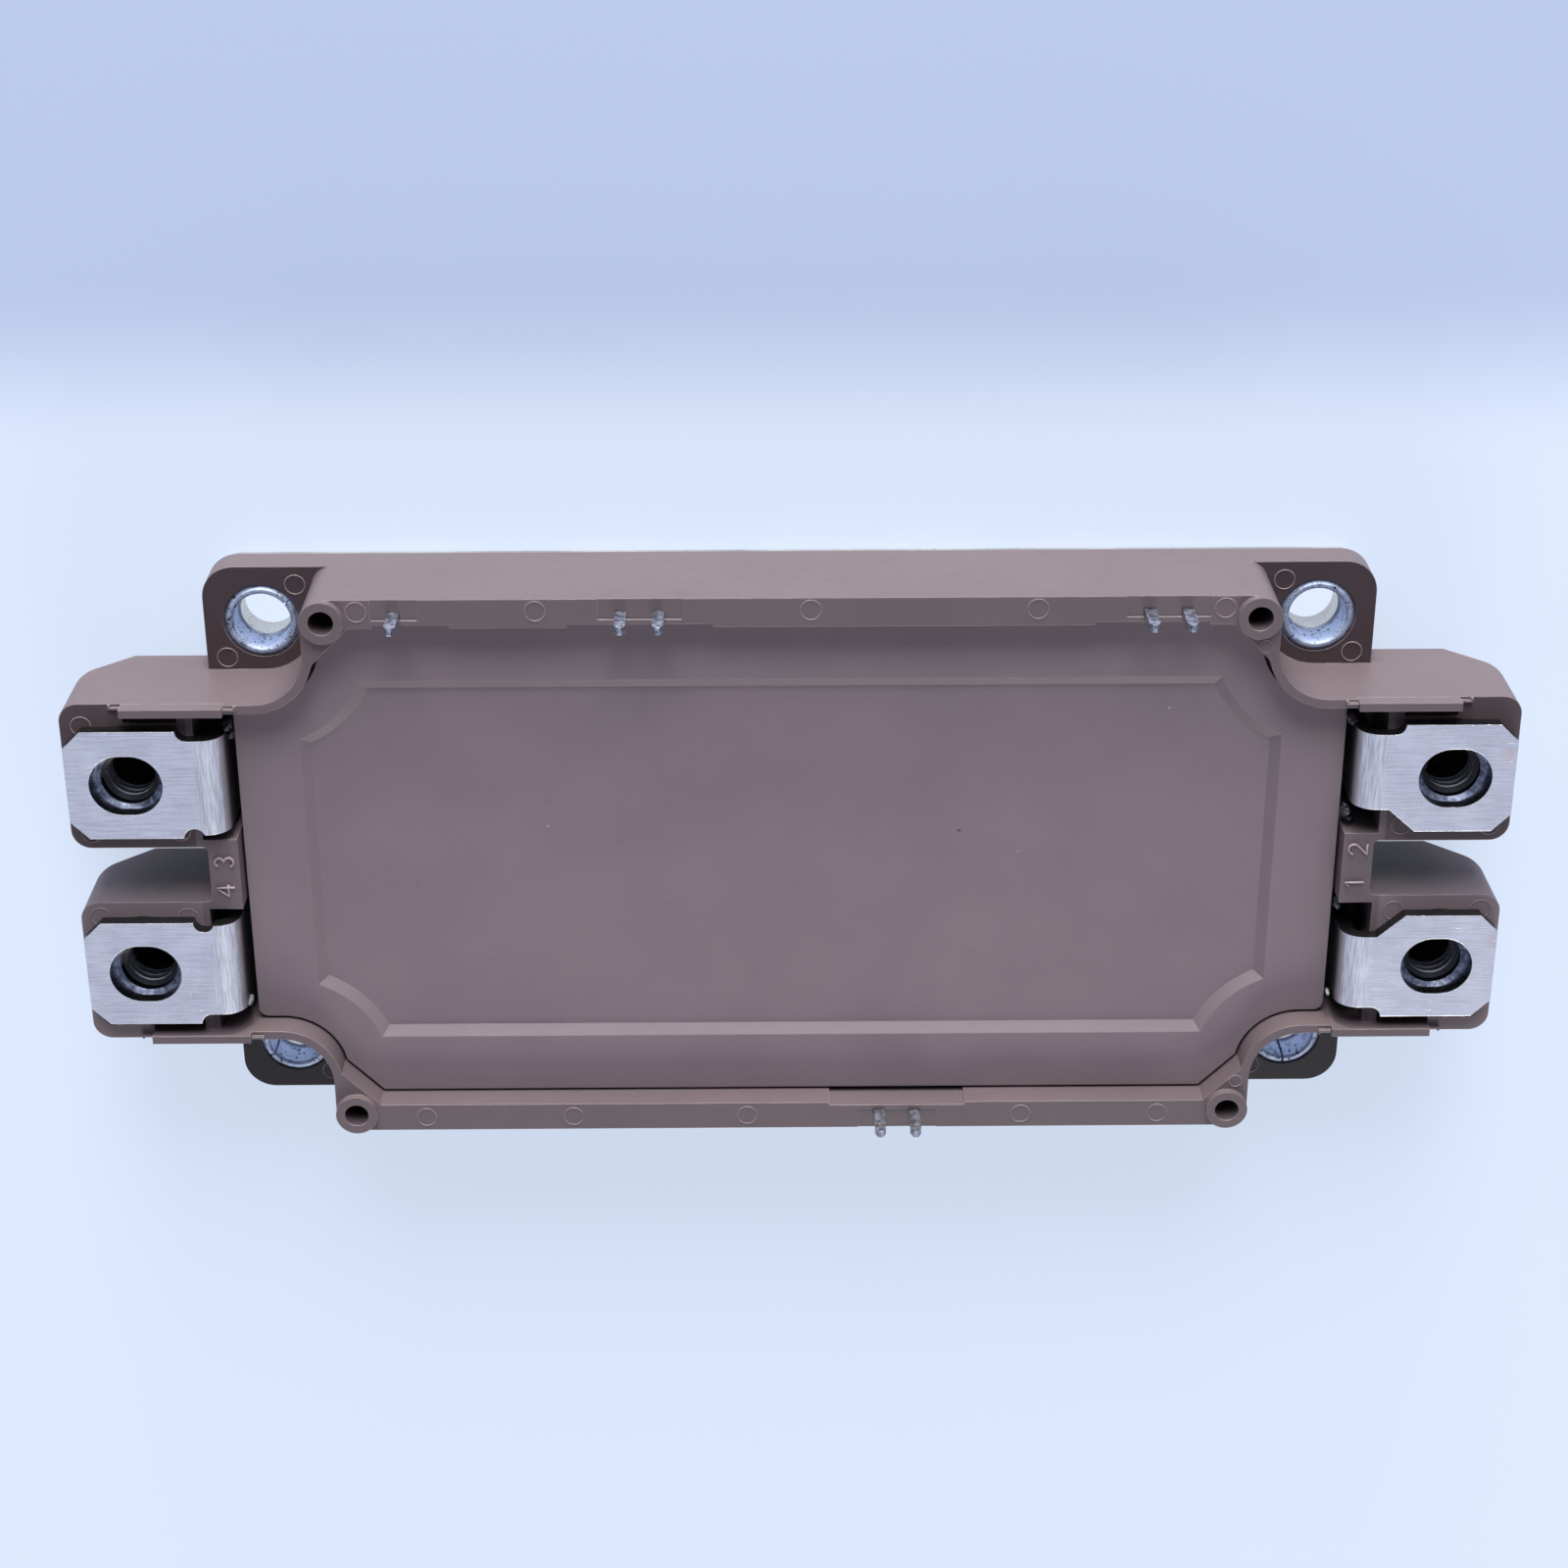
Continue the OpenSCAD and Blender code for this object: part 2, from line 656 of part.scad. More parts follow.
module tile_sheet(i, z, t, inset) {
    at_tile(i) translate([0, 0, z]) linear_extrude(t)
        square([tile_l - 2 * inset, tile_w - 2 * inset], center = true);
}

module tile_solder(i) {
    color("lightgray") tile_sheet(i, base_t, solder_t, copper_inset);
}

module back_copper(i) {
    color(copper_colour) tile_sheet(i, back_z, copper_t, copper_inset);
}

module ceramic_tile(i) {
    color("white") tile_sheet(i, ceramic_z, ceramic_t, 0);
}

// Etched copper: on each side a signal track and a power field, and in the middle
// a track for the bond wires with two small pads at its end
module circuit_copper(i) {
    l = tile_l - 2 * copper_inset;
    pad_x = middle_track_share * l - l / 2 + track_gap;
    color(copper_colour) at_tile(i) translate([0, 0, circuit_z]) linear_extrude(copper_t) {
        for (m = [0, 1]) mirror([0, m]) {
            translate([-l / 2, tile_w / 2 - copper_inset - signal_track_w]) square([l, signal_track_w]);
            translate([-l / 2, field_y]) square([l, field_out_y - field_y]);
            translate([pad_x, track_gap / 2]) square([l / 2 - pad_x, (middle_track_w - track_gap) / 2]);
        }
        translate([-l / 2, -middle_track_w / 2]) square([middle_track_share * l, middle_track_w]);
    }
}

module chips(i, x, side) {
    at_tile(i) for (s = [-1, 1])
        translate([x - side / 2, s * chip_y - side / 2, chip_z]) cube([side, side, chip_t]);
}

module igbt_chips(i) {
    color("dimgray") chips(i, igbt_x, igbt_side);
}

module diode_chips(i) {
    color("dimgray") chips(i, diode_x, diode_side);
}

// Wire loop from a to b, standing up by rise over the straight line between them
module wire_loop(a, b, rise, d) {
    v = b - a;
    span = norm(v);
    r = (span * span / 4 + rise * rise) / (2 * rise);
    half = asin(span / 2 / r);
    translate(a) rotate([0, 0, atan2(v[1], v[0])]) rotate([0, -asin(v[2] / span), 0])
        translate([span / 2, 0, rise - r]) rotate([90, 0, 0]) rotate(90 - half)
            rotate_extrude(angle = 2 * half) translate([r, 0]) circle(d = d, $fn = 16);
}

module bond_wires(i) {
    lift = wire_d / 2;
    color("silver") at_tile(i) for (s = [-1, 1], chip = [[igbt_x, igbt_side], [diode_x, diode_side]])
        for (k = [0:chip_wires - 1]) {
            x = chip[0] + (k - (chip_wires - 1) / 2) * chip[1] / (chip_wires + 1);
            wire_loop([x, s * chip_y, wire_z + lift],
                      [x, s * wire_landing_y, chip_z + lift], wire_rise, wire_d);
        }
}

module signal_wires() {
    lift = signal_wire_d / 2;
    color("silver") for (p = pin_places)
        wire_loop([p[1], p[0] * (pin_foot_y + pin_t), shelf_z + pin_t + lift],
                  [p[1] * landing_share, p[0] * signal_landing_y, chip_z + lift],
                  signal_rise, signal_wire_d);
}

module ntc_thermistor() {
    color("dimgray") at_tile(1)
        translate([tile_l / 2 - copper_inset - thermistor_size[0] * 1.5, -thermistor_size[1] / 2, chip_z])
            cube(thermistor_size);
}

// Gel over the circuit, with a plain hollow over the tiles, the terminals and the signal wires
module silicone_gel() {
    tiles_top = wire_z + wire_rise + 2 * wire_d;
    wires_top = gel_z - gel_cover / 2;
    color([0.7, 0.75, 0.8, 0.4]) difference() {
        union() {
            translate([0, 0, base_t]) linear_extrude(shelf_z - base_t) cavity_2d(-shelf_w);
            translate([0, 0, shelf_z]) linear_extrude(gel_z - shelf_z) cavity_2d(-seat_ledge_w);
            at_corners() leg_space(gel_z);
        }
        box([-row_l / 2, -tile_w / 2, base_t - cut], [row_l / 2, tile_w / 2, tiles_top]);
        at_corners() {
            box([foot_end_x, notch_neck_y, foot_z - cut], [leg_x + term_t, neck_out_y, foot_z + bend_r]);
            box([leg_x, notch_neck_y, foot_z], [leg_x + term_t, neck_out_y, gel_z + cut]);
        }
        for (p = pin_places) at_pin(p)
            box([-2 * pin_w, tile_w / 2 - 2 * copper_inset, chip_z], [2 * pin_w, case_w / 2, wires_top]);
    }
}

base_plate();
frame_adhesive();
case_frame();
lid();
for (i = [1:4]) {
    terminal(i);
    terminal_nut(i);
    mounting_bush(i);
}
for (i = [1:7])
    signal_pin(i);
for (i = [1:3]) {
    tile_solder(i);
    back_copper(i);
    ceramic_tile(i);
    circuit_copper(i);
    igbt_chips(i);
    diode_chips(i);
    bond_wires(i);
}
ntc_thermistor();
signal_wires();
silicone_gel();
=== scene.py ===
# %% [markdown]
# # A power transistor module, finished for the camera
# The solids of the module come from its construction model and are fixed here. This notebook gives each
# of them the finish that the real piece has, adds what is too small for the construction model, such as
# the thread turns and the raised terminal numbers, and sets up a plain studio. Lengths are in metres, and
# the few that are in millimetres say so.

# %% Load the frame
import math

import bmesh
import bpy
import mathutils
from mathutils import Euler, Matrix, Vector
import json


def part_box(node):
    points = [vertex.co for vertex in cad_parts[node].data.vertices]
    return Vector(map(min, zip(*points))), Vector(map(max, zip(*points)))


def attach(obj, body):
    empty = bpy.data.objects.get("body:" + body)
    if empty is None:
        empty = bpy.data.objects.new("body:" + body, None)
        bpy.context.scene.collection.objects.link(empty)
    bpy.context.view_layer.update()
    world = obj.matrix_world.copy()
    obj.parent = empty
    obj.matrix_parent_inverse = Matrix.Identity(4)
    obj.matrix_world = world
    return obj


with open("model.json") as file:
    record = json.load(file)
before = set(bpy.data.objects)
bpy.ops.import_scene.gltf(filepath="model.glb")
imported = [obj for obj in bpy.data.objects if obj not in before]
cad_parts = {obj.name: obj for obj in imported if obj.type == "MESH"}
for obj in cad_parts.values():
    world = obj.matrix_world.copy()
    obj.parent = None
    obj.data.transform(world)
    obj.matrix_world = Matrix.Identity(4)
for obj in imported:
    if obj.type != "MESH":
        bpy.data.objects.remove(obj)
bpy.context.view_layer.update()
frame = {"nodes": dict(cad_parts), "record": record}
nodes = frame["nodes"]
mounts = {mount["name"]: mount for mount in frame["record"]["mounts"]}
MM = 0.001

# %% [markdown]
# ## The camera
# The view looks down on the lid from the side of the five pins. Its place and lens come from a fit of the
# standard hole pattern to the picture, so each piece falls where the picture shows it. The picture's
# upper edge is the +Y side, which means that the camera hangs upside down over the module. A matrix says
# that more plainly than angles do.

# %% Camera
SENSOR = 0.036
PICTURE_PIXELS = 1600
FOCAL_PIXELS = 3015.4
CAMERA_PLACE = Vector((-0.0025, 0.1395, 0.2929))
LOOK = Vector((0.0057, -0.4227, -0.9063)).normalized()
PICTURE_UP = Vector((0.0057, 0.9063, -0.4227))


def add_camera():
    lens = bpy.data.cameras.new("camera")
    lens.sensor_width = SENSOR / MM
    lens.lens = FOCAL_PIXELS / PICTURE_PIXELS * SENSOR / MM
    lens.clip_start = 0.01
    lens.clip_end = 10
    camera = bpy.data.objects.new("camera", lens)
    right = LOOK.cross(PICTURE_UP).normalized()
    up = right.cross(LOOK)
    turn = Matrix((right, up, -LOOK)).transposed()
    camera.matrix_world = Matrix.Translation(CAMERA_PLACE) @ turn.to_4x4()
    bpy.context.scene.collection.objects.link(camera)
    bpy.context.scene.camera = camera
    return camera


camera = add_camera()
print("lens:", round(camera.data.lens, 2), "mm")

# %% [markdown]
# ## Helpers for shader nodes
# A material is a tree of small nodes. Written one by one they are hard to read, so a Wire stands for the
# output of a node and lets Python's own signs build the Math nodes, and a Recipe makes every other node
# through one method: the node's settings first, because they can change its sockets, and then the values
# or wires of its inputs.


# %% Wire and Recipe
class Wire:
    """The output of a shader node. Arithmetic on it adds Math nodes."""

    def __init__(self, recipe, socket):
        self.recipe = recipe
        self.socket = socket

    def sum(self, operation, first, second):
        return self.recipe.add("ShaderNodeMath", {"operation": operation}, {0: first, 1: second})

    def __add__(self, other):
        return self.sum("ADD", self, other)

    def __radd__(self, other):
        return self.sum("ADD", other, self)

    def __sub__(self, other):
        return self.sum("SUBTRACT", self, other)

    def __rsub__(self, other):
        return self.sum("SUBTRACT", other, self)

    def __mul__(self, other):
        return self.sum("MULTIPLY", self, other)

    def __rmul__(self, other):
        return self.sum("MULTIPLY", other, self)

    def __abs__(self):
        return self.sum("ABSOLUTE", self, 0)

    def other(self, name):
        """Another output of the same node."""
        return Wire(self.recipe, self.socket.node.outputs[name])


class Recipe:
    """The node tree of a material or of the sky. Every node but a Math node comes from one method."""

    def __init__(self, owner):
        owner.use_nodes = True
        self.owner = owner
        self.tree = owner.node_tree
        self.place = self.add("ShaderNodeTexCoord", out="Object")

    def add(self, kind, settings=None, inputs=None, out=0):
        node = self.tree.nodes.new(kind)
        for name, value in (settings or {}).items():
            if name == "stops":
                while len(node.color_ramp.elements) < len(value):
                    node.color_ramp.elements.new(1)
                for stop, (position, colour) in zip(node.color_ramp.elements, value):
                    stop.position = position
                    stop.color = (*colour, 1)
            else:
                setattr(node, name, value)
        for socket, value in (inputs or {}).items():
            self.plug(node.inputs[socket], value)
        return Wire(self, node.outputs[out])

    def plug(self, socket, value):
        if isinstance(value, Wire):
            self.tree.links.new(value.socket, socket)
        else:
            socket.default_value = value

    def finish(self, sockets):
        shader = self.tree.nodes["Principled BSDF"]
        for name, value in sockets.items():
            self.plug(shader.inputs[name], value)
        return self.owner


def new_finish(name):
    return Recipe(bpy.data.materials.new(name))


def rgba(colour):
    return (*colour, 1.0)


print("helpers:", Wire.__name__, Recipe.__name__)

# %% [markdown]
# ## Patterns that every finish uses
# Real surfaces vary at several scales. Noise of a stated grain size gives stains and texture, a smooth
# step turns a soft pattern into patches, and the Bevel node finds the sharp edges: where the rounded
# normal that it gives differs from the true one there is an edge, which catches the light and is painted
# pale, partly as wear and partly as a painted highlight.


# %% Pattern helpers
def noise(recipe, grain, detail=3.0, stretch=(1, 1, 1), shift=(0, 0, 0)):
    """Soft noise from 0 to 1 whose patches are about grain metres wide, times stretch along each axis."""
    scale = [1 / (grain * share) for share in stretch]
    inputs = {"Vector": recipe.place, "Location": shift, "Scale": scale}
    place = recipe.add("ShaderNodeMapping", None, inputs)
    return recipe.add("ShaderNodeTexNoise", None, {"Vector": place, "Scale": 1.0, "Detail": detail})


def step(recipe, value, low, high):
    """0 below low, 1 above high and a smooth rise between."""
    inputs = {"Value": value, "From Min": low, "From Max": high}
    return recipe.add("ShaderNodeMapRange", {"interpolation_type": "SMOOTHSTEP"}, inputs)


def blend(recipe, share, first, second):
    """Colour between first and second."""
    colours = [c if isinstance(c, Wire) else rgba(c) for c in (first, second)]
    inputs = {0: share, 6: colours[0], 7: colours[1]}
    return recipe.add("ShaderNodeMix", {"data_type": "RGBA"}, inputs, out=2)


def shade(colour, share):
    """The same hue, darker or paler."""
    return tuple(share * part for part in colour)


def axis_of(recipe, vector, axis):
    return recipe.add("ShaderNodeSeparateXYZ", None, {"Vector": vector}, out=axis)


def facing_up(recipe, low=0.3, high=0.6):
    """1 where a face looks upwards, 0 on walls and undersides."""
    normal = recipe.add("ShaderNodeNewGeometry", out="Normal")
    return step(recipe, axis_of(recipe, normal, "Z"), low, high)


def distance_to(recipe, place):
    """How far a point of the surface is from a place."""
    inputs = {0: recipe.place, 1: place}
    return recipe.add("ShaderNodeVectorMath", {"operation": "DISTANCE"}, inputs, out="Value")


# %% Specks, scribbles and edges
def dots(recipe, spacing, width, share, shift=(0, 0, 0)):
    """Small round specks: one in each cell of a loose grid, of which a share is kept."""
    place = recipe.add("ShaderNodeMapping", None, {"Vector": recipe.place, "Location": shift})
    near = recipe.add("ShaderNodeTexVoronoi", None, {"Vector": place, "Scale": 1 / spacing}, out="Distance")
    lot = recipe.add("ShaderNodeSeparateColor", None, {"Color": near.other("Color")}, out="Red")
    reach = width / spacing
    return (1 - step(recipe, near, 0.6 * reach, reach)) * step(recipe, lot, 1 - share, 1.01 - share)


def scribbles(recipe, grain, width, shift=(0, 0, 0)):
    """Thin crooked lines: the places where a noise crosses its middle."""
    height = noise(recipe, grain, detail=4, shift=shift)
    kept = step(recipe, noise(recipe, 2 * grain, detail=1, shift=(5, 2, 8)), 0.52, 0.60)
    return (1 - step(recipe, abs(height - 0.5), width / 2, width)) * kept


def rounded_normal(recipe, radius):
    return recipe.add("ShaderNodeBevel", {"samples": 6}, {"Radius": radius})


def edge_share(recipe, rounded):
    """How sharp the edge at a point is, from 0 on a flat face to 1."""
    true_normal = recipe.add("ShaderNodeNewGeometry", out="True Normal")
    inputs = {0: rounded, 1: true_normal}
    likeness = recipe.add("ShaderNodeVectorMath", {"operation": "DOT_PRODUCT"}, inputs, out="Value")
    return step(recipe, 1 - likeness, 0.01, 0.22)


def bump(recipe, height, depth, normal=None):
    """Normal bent by a height pattern that is depth metres deep."""
    inputs = {"Height": height, "Distance": depth, "Strength": 1.0}
    if normal is not None:
        inputs["Normal"] = normal
    return recipe.add("ShaderNodeBump", None, inputs)


def cover(names, material):
    """Gives CAD nodes their finish."""
    for name in names:
        nodes[name].data.materials.clear()
        nodes[name].data.materials.append(material)


numbered = {}
for name in nodes:
    numbered.setdefault(name.rstrip("0123456789").rstrip("_"), []).append(name)
print("kinds of node:", len(numbered))

# %% [markdown]
# ## Moulded plastic
# The frame and the lid are glass-filled polyester, moulded in two batches: the frame is browner and a
# little glossy, and the lid is greyer and more matte. Both have the fine grain of an eroded mould, faint
# clouds, a few dark and pale specks, and pale edges that are partly wear and partly a painted highlight.
# The ears and the arm tops carry painted shade, darkest on the -Y ears, while the -Y arm tops are painted
# paler as painted light; grime and painted shade darken the feet of the pins. A pattern that is worked
# out from the place on the piece does all of this, so that nothing slides when the view changes.

# %% Plastics
GRAIN = 0.14 * MM
CLOUD = 11 * MM
EDGE_RADIUS = 0.15 * MM
FRAME_COLOUR = (0.122, 0.093, 0.099)
LID_COLOUR = (0.198, 0.155, 0.169)
SOOT_AND_SHADE = (0.035, 0.028, 0.030)
DUST = (0.42, 0.38, 0.38)
# Painted shade and light on the tops: ears and arms on the +Y side, ears on the -Y side, arms on the -Y side
PAINTED_SHADE_TOP = (0.053, 0.035, 0.038)
DEEPER_SHADE_EAR = (0.011, 0.008, 0.009)
PAINTED_LIGHT_ARM = (0.185, 0.147, 0.152)
# Bands over which one zone gives way to the next
MIDDLE_BAND = (-2 * MM, 2 * MM)
ABOVE_EARS = (7.0 * MM, 7.4 * MM)
ABOVE_ARMS = (15.6 * MM, 15.8 * MM)
PAST_WEBS = (62.0 * MM, 62.2 * MM)


def paint_top_shade(recipe, tint):
    """Paints shade on the ears and the arm tops, deepest on the -Y ears, and paints the -Y arm tops paler as
    light.
    """
    plus_y = step(recipe, axis_of(recipe, recipe.place, "Y"), *MIDDLE_BAND)
    level = axis_of(recipe, recipe.place, "Z")
    upwards = facing_up(recipe)
    sunk = 1 - step(recipe, level, *ABOVE_EARS)
    past_webs = step(recipe, abs(axis_of(recipe, recipe.place, "X")), *PAST_WEBS)
    arm = past_webs * (1 - sunk) * (1 - step(recipe, level, *ABOVE_ARMS))
    tint = blend(recipe, upwards * arm * 0.75, tint, blend(recipe, plus_y, PAINTED_LIGHT_ARM, PAINTED_SHADE_TOP))
    return blend(recipe, upwards * sunk, tint, blend(recipe, plus_y, DEEPER_SHADE_EAR, PAINTED_SHADE_TOP))


def moulded_plastic(name, colour, pale, roughness, grain_depth, painted_top_shade=False, grime_and_shade=()):
    """Plastic of a colour, with pale edges that are partly wear and partly a painted highlight.
    Grime and painted shade darken it round each of the places that are given.
    """
    recipe = new_finish(name)
    rounded = rounded_normal(recipe, EDGE_RADIUS)
    edge = edge_share(recipe, rounded)
    cloud = noise(recipe, CLOUD, detail=3)
    stain = noise(recipe, 1.5 * MM, detail=4, shift=(3, 1, 2))
    grain = noise(recipe, GRAIN, detail=2)
    tint = blend(recipe, step(recipe, cloud, 0.3, 0.7), shade(colour, 0.96), shade(colour, 1.04))
    tint = blend(recipe, step(recipe, stain, 0.62, 0.80) * 0.4, tint, shade(colour, 0.85))
    tint = blend(recipe, dots(recipe, 6 * MM, 0.26 * MM, 0.25) * 0.7, tint, SOOT_AND_SHADE)
    tint = blend(recipe, dots(recipe, 5 * MM, 0.20 * MM, 0.20, shift=(0.4, 0.1, 0.3)) * 0.6, tint, DUST)
    # Painted shade and light on the ears and the tops of the arms
    if painted_top_shade:
        tint = paint_top_shade(recipe, tint)
    # Grime and painted shade round each given place, such as the feet of the pins
    for place in grime_and_shade:
        ragged = distance_to(recipe, place) + (stain - 0.5) * MM
        near = 1 - step(recipe, ragged, 0.5 * MM, 1.3 * MM)
        tint = blend(recipe, near * 0.7, tint, SOOT_AND_SHADE)
    # Pale edges: partly wear, partly a painted highlight
    tint = blend(recipe, edge * (0.55 + step(recipe, stain, 0.42, 0.58) * 0.35), tint, pale)
    height = grain + noise(recipe, 0.6 * MM, detail=2) * 0.6
    return recipe.finish(
        {
            "Base Color": tint,
            "Roughness": roughness + (cloud - 0.5) * 0.2 + (stain - 0.5) * 0.15 - edge * 0.1,
            "Specular IOR Level": 0.35,
            "Normal": bump(recipe, height, grain_depth, rounded),
        }
    )


# %% Plastic pieces
# Height of the rim, in millimetres
RIM_TOP = 16.1
pin_feet = []
for name in numbered["signal_pin"]:
    pin_low, pin_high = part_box(name)
    pin_feet.append(((pin_low.x + pin_high.x) / 2, (pin_low.y + pin_high.y) / 2, RIM_TOP * MM))
frame_plastic = moulded_plastic(
    "frame_plastic",
    FRAME_COLOUR,
    pale=(0.37, 0.31, 0.31),
    roughness=0.48,
    grain_depth=0.010 * MM,
    painted_top_shade=True,
    grime_and_shade=pin_feet,
)
lid_plastic = moulded_plastic(
    "lid_plastic", LID_COLOUR, pale=(0.32, 0.27, 0.28), roughness=0.55, grain_depth=0.016 * MM
)
# The flash rings and the raised numbers are frame plastic painted paler, a painted highlight on their relief
FINE_GRAIN = 0.005 * MM
flash_painted_pale = moulded_plastic(
    "flash_painted_pale",
    shade(FRAME_COLOUR, 1.5),
    pale=(0.32, 0.27, 0.27),
    roughness=0.45,
    grain_depth=FINE_GRAIN,
)
number_painted_pale = moulded_plastic(
    "number_painted_pale",
    shade(FRAME_COLOUR, 2.3),
    pale=(0.42, 0.36, 0.36),
    roughness=0.45,
    grain_depth=FINE_GRAIN,
)
cover(["case_frame"], frame_plastic)
cover(["lid"], lid_plastic)
print("plastics:", [m.name for m in (frame_plastic, lid_plastic, flash_painted_pale, number_painted_pale)])

# %% [markdown]
# ## Nickel-plated terminals
# The strip is brushed along its length, so its flat shows fine lines along X. Bending stretches the outer
# face, which opens the plating into short cracks along Y. The distance from the middle of the module says
# which of the two a point shows. The walls and the lower bend, which do not look up, carry painted shade.
# The sheared edges are a little paler, partly worn and partly a painted highlight, and at two corners the
# plating has worn down to the copper.

# %% Terminal strip
NICKEL = (0.80, 0.79, 0.81)
DULL_NICKEL = (0.72, 0.71, 0.74)
WORN_COPPER = (0.80, 0.50, 0.40)
BEND_END = 60.5 * MM
FLAT_START = 61.9 * MM
# Each worn spot: its place and its reach, in millimetres
WORN_PLACES = [((73.8, 13.7, 17.0), 1.1), ((74.2, -8.0, 17.0), 0.8)]


def worn_spot(recipe, place, reach):
    gap = distance_to(recipe, [part * MM for part in place])
    ragged = gap + (noise(recipe, 0.5 * MM, detail=4) - 0.5) * reach * MM
    return 1 - step(recipe, ragged, 0.2 * reach * MM, reach * MM)


def terminal_finish():
    recipe = new_finish("strip_nickel")
    rounded = rounded_normal(recipe, 0.09 * MM)
    edge = edge_share(recipe, rounded)
    bend = 1 - step(recipe, abs(axis_of(recipe, recipe.place, "X")), BEND_END, FLAT_START)
    brushed = noise(recipe, 0.17 * MM, detail=4, stretch=(24, 1, 1))
    cracked = noise(recipe, 0.14 * MM, detail=2, stretch=(1, 18, 1))
    lines = brushed + (cracked - brushed) * bend
    patches = noise(recipe, 3 * MM, detail=4, shift=(1, 5, 2))
    long_grain = noise(recipe, 0.15 * MM, detail=2, stretch=(14, 1, 1), shift=(2, 9, 4))
    scratches = step(recipe, long_grain, 0.70, 0.76)
    smudges = scribbles(recipe, 0.7 * MM, 0.02, shift=(4, 4, 1))
    tint = blend(recipe, step(recipe, patches, 0.3, 0.7), DULL_NICKEL, NICKEL)
    line_share = step(recipe, lines, 0.40, 0.66) * (0.40 + bend * 0.25)
    tint = blend(recipe, line_share, tint, shade(DULL_NICKEL, 0.5))
    tint = blend(recipe, scratches * 0.5, tint, shade(DULL_NICKEL, 0.35))
    tint = blend(recipe, smudges * 0.2, tint, shade(DULL_NICKEL, 0.4))
    for place, reach in WORN_PLACES:
        tint = blend(recipe, worn_spot(recipe, place, reach) * 0.3, tint, WORN_COPPER)
    # Painted shade: the walls and the lower bend, the faces that do not look up, are darkened
    tint = blend(recipe, facing_up(recipe, 0.1, 0.5), shade(DULL_NICKEL, 0.16), tint)
    # Pale edges: partly wear, partly a painted highlight
    tint = blend(recipe, edge * 0.15, tint, (0.88, 0.88, 0.90))
    roughness = 0.28 + (lines - 0.5) * 0.25 + (patches - 0.5) * 0.06 + edge * 0.25 + bend * 0.08
    height = lines * (0.5 + bend) - scratches * 0.6 - smudges * 0.3
    return recipe.finish(
        {
            "Base Color": tint,
            "Metallic": 1.0,
            "Roughness": roughness,
            "Normal": bump(recipe, height, 0.008 * MM, rounded),
        }
    )


strip_nickel = terminal_finish()
cover(numbered["terminal"], strip_nickel)
print("terminals:", len(numbered["terminal"]))

# %% [markdown]
# ## Other metals
# The nuts, bushes, pins and the base plate differ in tint, gloss and the grain of their marks, so one
# function makes them all from a few numbers. One of these is the share of their colour that walls and
# bores keep: the bores of the nuts are darkened, and the bushes are painted brightest inside as painted
# light. Their edges are a little pale, partly worn and partly a painted highlight.

# %% Finish of a plated metal
def plated_metal(name, colour, dull, roughness, streak, streak_size, mottle, marks=0.5, bore_share=1.0,
                 specks=0.0, edge_wear_and_highlight=0.4, depth=0.004 * MM):
    """Metal that is mottled from colour to dull, with streaks that are stretched along an axis."""
    recipe = new_finish(name)
    rounded = rounded_normal(recipe, 0.1 * MM)
    edge = edge_share(recipe, rounded)
    lines = noise(recipe, streak_size, detail=3, stretch=streak)
    patches = noise(recipe, mottle, detail=4, shift=(1, 5, 2))
    pits = step(recipe, noise(recipe, 0.35 * MM, detail=4, shift=(7, 3, 1)), 0.62, 0.68)
    scrawl = scribbles(recipe, 0.8 * MM, 0.025)
    tint = blend(recipe, step(recipe, patches, 0.32, 0.68), dull, colour)
    tint = blend(recipe, step(recipe, lines, 0.55, 0.75) * 0.35, tint, dull)
    # Walls and bores keep a share of the colour: darker in the nuts, and brighter in the bushes as painted
    # light
    if bore_share != 1:
        tint = blend(recipe, facing_up(recipe), shade(dull, bore_share), tint)
    tint = blend(recipe, pits * marks, tint, shade(dull, 0.2))
    tint = blend(recipe, scrawl * marks, tint, shade(dull, 0.3))
    if specks:
        tint = blend(recipe, dots(recipe, 0.8 * MM, 0.20 * MM, 0.4) * specks, tint, shade(dull, 0.12))
    # Pale edges: partly wear, partly a painted highlight
    tint = blend(recipe, edge * edge_wear_and_highlight, tint, (0.85, 0.85, 0.87))
    return recipe.finish(
        {
            "Base Color": tint,
            "Metallic": 1.0,
            "Roughness": roughness + (lines - 0.5) * 0.3 + (patches - 0.5) * 0.15 + edge * 0.15,
            "Normal": bump(recipe, lines - pits - scrawl, depth, rounded),
        }
    )


# %% Finish of a thread with painted crests
def thread_painted_crests_finish():
    """Thread turns that are black but for their crests, the only upright faces, painted bright as a
    highlight.
    """
    recipe = new_finish("thread_painted_crests")
    normal = recipe.add("ShaderNodeNewGeometry", out="True Normal")
    crest = 1 - step(recipe, abs(axis_of(recipe, normal, "Z")), 0.2, 0.4)
    smear = noise(recipe, 0.5 * MM, detail=3)
    return recipe.finish(
        {
            "Base Color": blend(recipe, crest * (0.5 + smear), (0.012, 0.012, 0.016), (0.85, 0.88, 0.98)),
            "Metallic": 0.3,
            "Roughness": 0.3 + smear * 0.2,
            "Normal": bump(recipe, smear, 0.01 * MM),
        }
    )


